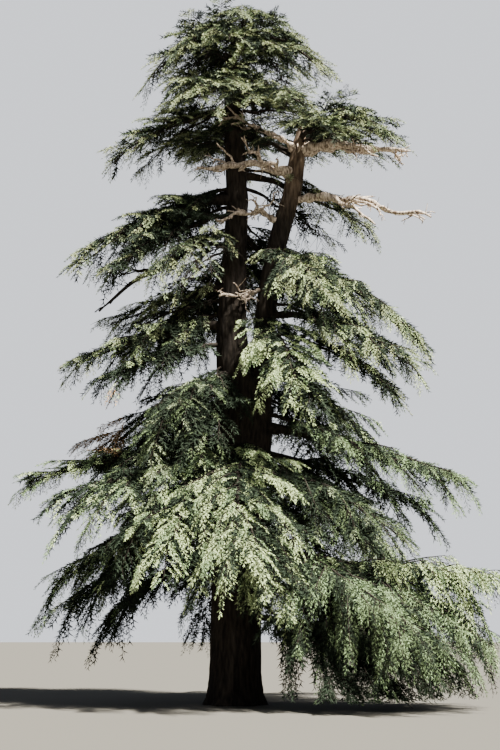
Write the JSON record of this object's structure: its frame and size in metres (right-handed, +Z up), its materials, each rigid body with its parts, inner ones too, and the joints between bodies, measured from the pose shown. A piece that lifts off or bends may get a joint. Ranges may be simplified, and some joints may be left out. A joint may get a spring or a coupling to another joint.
{
  "type": "cedar tree",
  "caption": "Old cedar tree with a forked trunk, tiers of flat drooping boughs of needles and bleached dead limbs, cut flat at ground level",
  "frame": {"origin": "middle of the flat cut at ground level, under the trunk", "axes": "+Z up the trunk; seen along +Y as pictured, with +X to the right and the long low boughs on that side"},
  "size_m": [18.752, 15.6449, 28.2246],
  "materials": {
    "bark": "rough fissured bark",
    "dead_wood": "bleached bare wood",
    "needles": "dull needle foliage"
  },
  "bodies": {
    "root": {"trunk": "bark", "second_leader": "bark", "bough_high_left": "bark", "bough_middle_right": "bark", "bough_middle_left": "bark", "bough_low_right": "bark", "bough_low_left": "bark", "bough_lowest_left": "bark", "bough_lowest_right": "bark", "dead_limb_fork_long": "dead_wood", "dead_limb_right_long": "dead_wood", "dead_limb_arching": "dead_wood", "dead_limb_crossing_high": "dead_wood", "dead_limb_crossing_low": "dead_wood", "dead_limb_stub": "dead_wood", "dead_limb_left_bare": "dead_wood", "foliage_top": "needles", "foliage_dome_left": "needles", "foliage_dome_right": "needles", "foliage_dome_front": "needles", "foliage_dome_back": "needles", "foliage_upper_front": "needles", "foliage_upper_right": "needles", "foliage_upper_left": "needles", "foliage_upper_left_low": "needles", "foliage_upper_back": "needles", "foliage_fork_right": "needles", "foliage_fork_left": "needles", "foliage_fork_front": "needles", "foliage_fork_back": "needles", "foliage_high_right": "needles", "foliage_high_left_back": "needles", "foliage_high_left": "needles", "foliage_high_left_front": "needles", "foliage_high_back_right": "needles", "foliage_high_back": "needles", "foliage_middle_front": "needles", "foliage_middle_right": "needles", "foliage_middle_right_low": "needles", "foliage_middle_left_low": "needles", "foliage_middle_fan": "needles", "foliage_middle_left": "needles", "foliage_middle_back_right": "needles", "foliage_middle_left_front": "needles", "foliage_middle_left_back": "needles", "foliage_middle_back": "needles", "foliage_low_right": "needles", "foliage_low_left": "needles", "foliage_low_left_front": "needles", "foliage_low_fan": "needles", "foliage_low_fan_left": "needles", "foliage_low_right_front": "needles", "foliage_low_back_right": "needles", "foliage_low_back_left": "needles", "foliage_lowest_back": "needles", "foliage_lowest_left": "needles", "foliage_lowest_right": "needles", "foliage_lowest_right_front": "needles", "foliage_lowest_right_middle": "needles", "foliage_lowest_front_right": "needles"}
  },
  "joints": []
}
